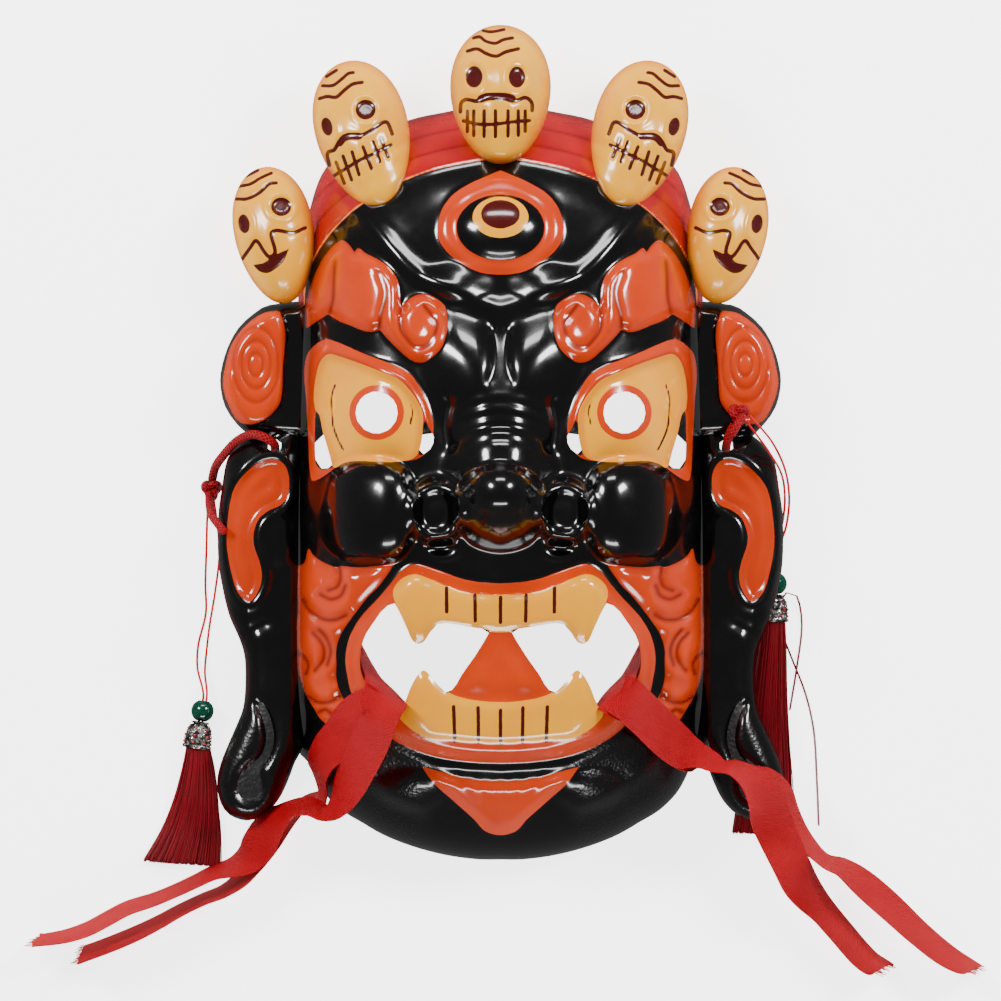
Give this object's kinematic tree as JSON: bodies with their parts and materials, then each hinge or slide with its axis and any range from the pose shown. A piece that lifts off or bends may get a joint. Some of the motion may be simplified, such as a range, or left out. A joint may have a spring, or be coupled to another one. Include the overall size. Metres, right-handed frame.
{
  "type": "ceremonial dance mask",
  "caption": "Hollow moulded wrathful-face mask with a crown of small skulls, open fanged mouth, long ears, ribbon ties and ear tassels, lying face up on its rim.",
  "frame": {"origin": "middle of the mask's outline, ears and skulls included, on the flat plane of its rim, which lies on the floor", "axes": "+Z out of the face, +Y towards the crown, +X towards the viewer's right"},
  "size_m": [0.433, 0.4287, 0.1042],
  "materials": {
    "gloss_moulding": "gloss black moulding with orange, yellow and red enamel",
    "ribbon": "red grosgrain ribbon",
    "cord": "braided red cord",
    "bead": "polished dark green bead",
    "silver_cap": "silvered filigree with red enamel dots",
    "tassel": "dark red silk"
  },
  "bodies": {
    "root": {"mask": "gloss_moulding", "ribbon_left": "ribbon", "ribbon_right": "ribbon", "ear_cord_left": "cord", "ear_cord_right": "cord", "knot_left": "cord", "knot_right": "cord", "thread_left_1": "cord", "thread_left_2": "cord", "thread_right_1": "cord", "thread_right_2": "cord", "bead_left": "bead", "bead_right": "bead", "cap_left": "silver_cap", "cap_right": "silver_cap", "tassel_left": "tassel", "tassel_right": "tassel"}
  },
  "joints": []
}
